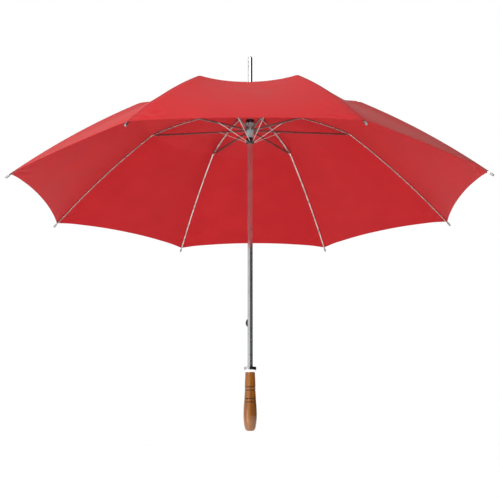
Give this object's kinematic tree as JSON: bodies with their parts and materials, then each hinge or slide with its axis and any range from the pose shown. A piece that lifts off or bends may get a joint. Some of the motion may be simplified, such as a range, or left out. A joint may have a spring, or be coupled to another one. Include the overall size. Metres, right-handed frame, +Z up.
{
  "type": "stick umbrella",
  "caption": "Open stick umbrella: fluted ribs and stretchers on a tubular shaft, sliding runner, fabric canopy and turned wooden handle.",
  "frame": {"origin": "centre of the handle's flat lower end", "axes": "+Z up the shaft to the ferrule, -X the side the catches stand out of, -Y midway between two ribs"},
  "size_m": [1.199, 1.199, 1.042],
  "materials": {
    "shaft_steel": "bright plated tube",
    "ferrule_steel": "bright plated",
    "cap_plastic": "moulded",
    "black_plastic": "moulded",
    "rib_steel": "satin plated",
    "chrome": "polished",
    "handle_wood": "varnished with burnt grooves",
    "runner_plastic": "moulded",
    "catch_plastic": "moulded",
    "tip_metal": "stamped cap",
    "stretcher_steel": "satin plated channel",
    "canopy_cloth": "plain woven polyester"
  },
  "bodies": {
    "frame": {"shaft": "shaft_steel", "ferrule": "ferrule_steel", "canopy_cap": "cap_plastic", "top_notch": "black_plastic", "notch_wire": "rib_steel", "tip_cup": "chrome", "handle": "handle_wood"},
    "runner": {"runner": "runner_plastic", "runner_wire": "rib_steel", "tie_ring": "black_plastic"},
    "top_catch": {"top_catch": "catch_plastic"},
    "bottom_catch": {"bottom_catch": "catch_plastic"},
    "rib_1": {"rib_inner_1": "rib_steel"},
    "rib_1_outer": {"rib_outer_1": "rib_steel", "rib_tip_1": "tip_metal", "canopy_panel_1": "canopy_cloth"},
    "stretcher_1": {"stretcher_1": "stretcher_steel"},
    "tie_1": {"tie_wire_1": "rib_steel"},
    "rib_2": {"rib_inner_2": "rib_steel"},
    "rib_2_outer": {"rib_outer_2": "rib_steel", "rib_tip_2": "tip_metal", "canopy_panel_2": "canopy_cloth"},
    "stretcher_2": {"stretcher_2": "stretcher_steel"},
    "tie_2": {"tie_wire_2": "rib_steel"},
    "rib_3": {"rib_inner_3": "rib_steel"},
    "rib_3_outer": {"rib_outer_3": "rib_steel", "rib_tip_3": "tip_metal", "canopy_panel_3": "canopy_cloth"},
    "stretcher_3": {"stretcher_3": "stretcher_steel"},
    "tie_3": {"tie_wire_3": "rib_steel"},
    "rib_4": {"rib_inner_4": "rib_steel"},
    "rib_4_outer": {"rib_outer_4": "rib_steel", "rib_tip_4": "tip_metal", "canopy_panel_4": "canopy_cloth"},
    "stretcher_4": {"stretcher_4": "stretcher_steel"},
    "tie_4": {"tie_wire_4": "rib_steel"},
    "rib_5": {"rib_inner_5": "rib_steel"},
    "rib_5_outer": {"rib_outer_5": "rib_steel", "rib_tip_5": "tip_metal", "canopy_panel_5": "canopy_cloth"},
    "stretcher_5": {"stretcher_5": "stretcher_steel"},
    "tie_5": {"tie_wire_5": "rib_steel"},
    "rib_6": {"rib_inner_6": "rib_steel"},
    "rib_6_outer": {"rib_outer_6": "rib_steel", "rib_tip_6": "tip_metal", "canopy_panel_6": "canopy_cloth"},
    "stretcher_6": {"stretcher_6": "stretcher_steel"},
    "tie_6": {"tie_wire_6": "rib_steel"},
    "rib_7": {"rib_inner_7": "rib_steel"},
    "rib_7_outer": {"rib_outer_7": "rib_steel", "rib_tip_7": "tip_metal", "canopy_panel_7": "canopy_cloth"},
    "stretcher_7": {"stretcher_7": "stretcher_steel"},
    "tie_7": {"tie_wire_7": "rib_steel"},
    "rib_8": {"rib_inner_8": "rib_steel"},
    "rib_8_outer": {"rib_outer_8": "rib_steel", "rib_tip_8": "tip_metal", "canopy_panel_8": "canopy_cloth"},
    "stretcher_8": {"stretcher_8": "stretcher_steel"},
    "tie_8": {"tie_wire_8": "rib_steel"}
  },
  "joints": [
    {"name": "fold", "type": "hinge", "parent": "frame", "child": "rib_1", "pos_m": [0.01016, 0.00421, 0.88], "axis": [-0.3827, 0.9239, 0], "range_deg": [0, 80], "deforming": ["canopy_panel_1", "canopy_panel_2", "canopy_panel_3", "canopy_panel_4", "canopy_panel_5", "canopy_panel_6", "canopy_panel_7", "canopy_panel_8", "top_catch", "bottom_catch"]},
    {"name": "fold_2", "type": "hinge", "parent": "frame", "child": "rib_2", "pos_m": [0.00421, 0.01016, 0.88], "axis": [-0.9239, 0.3827, 0], "range_deg": [0, 80]},
    {"name": "fold_3", "type": "hinge", "parent": "frame", "child": "rib_3", "pos_m": [-0.00421, 0.01016, 0.88], "axis": [-0.9239, -0.3827, 0], "range_deg": [0, 80]},
    {"name": "fold_4", "type": "hinge", "parent": "frame", "child": "rib_4", "pos_m": [-0.01016, 0.00421, 0.88], "axis": [-0.3827, -0.9239, 0], "range_deg": [0, 80]},
    {"name": "fold_5", "type": "hinge", "parent": "frame", "child": "rib_5", "pos_m": [-0.01016, -0.00421, 0.88], "axis": [0.3827, -0.9239, 0], "range_deg": [0, 80]},
    {"name": "fold_6", "type": "hinge", "parent": "frame", "child": "rib_6", "pos_m": [-0.00421, -0.01016, 0.88], "axis": [0.9239, -0.3827, 0], "range_deg": [0, 80]},
    {"name": "fold_7", "type": "hinge", "parent": "frame", "child": "rib_7", "pos_m": [0.00421, -0.01016, 0.88], "axis": [0.9239, 0.3827, 0], "range_deg": [0, 80]},
    {"name": "fold_8", "type": "hinge", "parent": "frame", "child": "rib_8", "pos_m": [0.01016, -0.00421, 0.88], "axis": [0.3827, 0.9239, 0], "range_deg": [0, 80]},
    {"name": "rib_bend_1", "type": "hinge", "parent": "rib_1", "child": "rib_1_outer", "pos_m": [0.2909, 0.12049, 0.85185], "axis": [-0.3827, 0.9239, 0], "range_deg": [-23.26, 0]},
    {"name": "strut_1", "type": "hinge", "parent": "rib_1", "child": "stretcher_1", "pos_m": [0.28186, 0.11675, 0.85013], "axis": [-0.3827, 0.9239, 0], "range_deg": [-161, 0]},
    {"name": "rib_bend_2", "type": "hinge", "parent": "rib_2", "child": "rib_2_outer", "pos_m": [0.12049, 0.2909, 0.85185], "axis": [-0.9239, 0.3827, 0], "range_deg": [-23.26, 0]},
    {"name": "strut_2", "type": "hinge", "parent": "rib_2", "child": "stretcher_2", "pos_m": [0.11675, 0.28186, 0.85013], "axis": [-0.9239, 0.3827, 0], "range_deg": [-161, 0]},
    {"name": "rib_bend_3", "type": "hinge", "parent": "rib_3", "child": "rib_3_outer", "pos_m": [-0.12049, 0.2909, 0.85185], "axis": [-0.9239, -0.3827, 0], "range_deg": [-23.26, 0]},
    {"name": "strut_3", "type": "hinge", "parent": "rib_3", "child": "stretcher_3", "pos_m": [-0.11675, 0.28186, 0.85013], "axis": [-0.9239, -0.3827, 0], "range_deg": [-161, 0]},
    {"name": "rib_bend_4", "type": "hinge", "parent": "rib_4", "child": "rib_4_outer", "pos_m": [-0.2909, 0.12049, 0.85185], "axis": [-0.3827, -0.9239, 0], "range_deg": [-23.26, 0]},
    {"name": "strut_4", "type": "hinge", "parent": "rib_4", "child": "stretcher_4", "pos_m": [-0.28186, 0.11675, 0.85013], "axis": [-0.3827, -0.9239, 0], "range_deg": [-161, 0]},
    {"name": "rib_bend_5", "type": "hinge", "parent": "rib_5", "child": "rib_5_outer", "pos_m": [-0.2909, -0.12049, 0.85185], "axis": [0.3827, -0.9239, 0], "range_deg": [-23.26, 0]},
    {"name": "strut_5", "type": "hinge", "parent": "rib_5", "child": "stretcher_5", "pos_m": [-0.28186, -0.11675, 0.85013], "axis": [0.3827, -0.9239, 0], "range_deg": [-161, 0]},
    {"name": "rib_bend_6", "type": "hinge", "parent": "rib_6", "child": "rib_6_outer", "pos_m": [-0.12049, -0.2909, 0.85185], "axis": [0.9239, -0.3827, 0], "range_deg": [-23.26, 0]},
    {"name": "strut_6", "type": "hinge", "parent": "rib_6", "child": "stretcher_6", "pos_m": [-0.11675, -0.28186, 0.85013], "axis": [0.9239, -0.3827, 0], "range_deg": [-161, 0]},
    {"name": "rib_bend_7", "type": "hinge", "parent": "rib_7", "child": "rib_7_outer", "pos_m": [0.12049, -0.2909, 0.85185], "axis": [0.9239, 0.3827, 0], "range_deg": [-23.26, 0]},
    {"name": "strut_7", "type": "hinge", "parent": "rib_7", "child": "stretcher_7", "pos_m": [0.11675, -0.28186, 0.85013], "axis": [0.9239, 0.3827, 0], "range_deg": [-161, 0]},
    {"name": "rib_bend_8", "type": "hinge", "parent": "rib_8", "child": "rib_8_outer", "pos_m": [0.2909, -0.12049, 0.85185], "axis": [0.3827, 0.9239, 0], "range_deg": [-23.26, 0]},
    {"name": "strut_8", "type": "hinge", "parent": "rib_8", "child": "stretcher_8", "pos_m": [0.28186, -0.11675, 0.85013], "axis": [0.3827, 0.9239, 0], "range_deg": [-161, 0]},
    {"name": "runner_pivot", "type": "hinge", "parent": "stretcher_1", "child": "runner", "pos_m": [0.01016, 0.00421, 0.82026], "axis": [-0.3827, 0.9239, 0], "range_deg": [0, 81]},
    {"name": "tie_1_lean", "type": "hinge", "parent": "runner", "child": "tie_1", "pos_m": [0.00878, 0.00364, 0.78476], "axis": [-0.3827, 0.9239, 0], "range_deg": [-57.6, 0]},
    {"name": "tie_2_lean", "type": "hinge", "parent": "runner", "child": "tie_2", "pos_m": [0.00364, 0.00878, 0.78476], "axis": [-0.9239, 0.3827, 0], "range_deg": [-57.6, 0]},
    {"name": "tie_3_lean", "type": "hinge", "parent": "runner", "child": "tie_3", "pos_m": [-0.00364, 0.00878, 0.78476], "axis": [-0.9239, -0.3827, 0], "range_deg": [-57.6, 0]},
    {"name": "tie_4_lean", "type": "hinge", "parent": "runner", "child": "tie_4", "pos_m": [-0.00878, 0.00364, 0.78476], "axis": [-0.3827, -0.9239, 0], "range_deg": [-57.6, 0]},
    {"name": "tie_5_lean", "type": "hinge", "parent": "runner", "child": "tie_5", "pos_m": [-0.00878, -0.00364, 0.78476], "axis": [0.3827, -0.9239, 0], "range_deg": [-57.6, 0]},
    {"name": "tie_6_lean", "type": "hinge", "parent": "runner", "child": "tie_6", "pos_m": [-0.00364, -0.00878, 0.78476], "axis": [0.9239, -0.3827, 0], "range_deg": [-57.6, 0]},
    {"name": "tie_7_lean", "type": "hinge", "parent": "runner", "child": "tie_7", "pos_m": [0.00364, -0.00878, 0.78476], "axis": [0.9239, 0.3827, 0], "range_deg": [-57.6, 0]},
    {"name": "tie_8_lean", "type": "hinge", "parent": "runner", "child": "tie_8", "pos_m": [0.00878, -0.00364, 0.78476], "axis": [0.3827, 0.9239, 0], "range_deg": [-57.6, 0]},
    {"name": "top_catch_press", "type": "slide", "parent": "frame", "child": "top_catch", "axis": [1, 0, 0], "range_m": [0, 0.005], "stiffness_N_per_m": 300},
    {"name": "bottom_catch_press", "type": "slide", "parent": "frame", "child": "bottom_catch", "axis": [1, 0, 0], "range_m": [0, 0.005], "stiffness_N_per_m": 300}
  ],
  "couplings": [
    {"joint": "rib_bend_1", "follows": "fold", "ratio": -0.28699},
    {"joint": "strut_1", "follows": "fold", "ratio": -2},
    {"joint": "tie_1_lean", "follows": "fold", "ratio": -0.71625},
    {"joint": "fold_2", "follows": "fold", "ratio": 1},
    {"joint": "rib_bend_2", "follows": "fold", "ratio": -0.28699},
    {"joint": "strut_2", "follows": "fold", "ratio": -2},
    {"joint": "tie_2_lean", "follows": "fold", "ratio": -0.71625},
    {"joint": "fold_3", "follows": "fold", "ratio": 1},
    {"joint": "rib_bend_3", "follows": "fold", "ratio": -0.28699},
    {"joint": "strut_3", "follows": "fold", "ratio": -2},
    {"joint": "tie_3_lean", "follows": "fold", "ratio": -0.71625},
    {"joint": "fold_4", "follows": "fold", "ratio": 1},
    {"joint": "rib_bend_4", "follows": "fold", "ratio": -0.28699},
    {"joint": "strut_4", "follows": "fold", "ratio": -2},
    {"joint": "tie_4_lean", "follows": "fold", "ratio": -0.71625},
    {"joint": "fold_5", "follows": "fold", "ratio": 1},
    {"joint": "rib_bend_5", "follows": "fold", "ratio": -0.28699},
    {"joint": "strut_5", "follows": "fold", "ratio": -2},
    {"joint": "tie_5_lean", "follows": "fold", "ratio": -0.71625},
    {"joint": "fold_6", "follows": "fold", "ratio": 1},
    {"joint": "rib_bend_6", "follows": "fold", "ratio": -0.28699},
    {"joint": "strut_6", "follows": "fold", "ratio": -2},
    {"joint": "tie_6_lean", "follows": "fold", "ratio": -0.71625},
    {"joint": "fold_7", "follows": "fold", "ratio": 1},
    {"joint": "rib_bend_7", "follows": "fold", "ratio": -0.28699},
    {"joint": "strut_7", "follows": "fold", "ratio": -2},
    {"joint": "tie_7_lean", "follows": "fold", "ratio": -0.71625},
    {"joint": "fold_8", "follows": "fold", "ratio": 1},
    {"joint": "rib_bend_8", "follows": "fold", "ratio": -0.28699},
    {"joint": "strut_8", "follows": "fold", "ratio": -2},
    {"joint": "tie_8_lean", "follows": "fold", "ratio": -0.71625},
    {"joint": "runner_pivot", "follows": "fold", "ratio": 1}
  ]
}
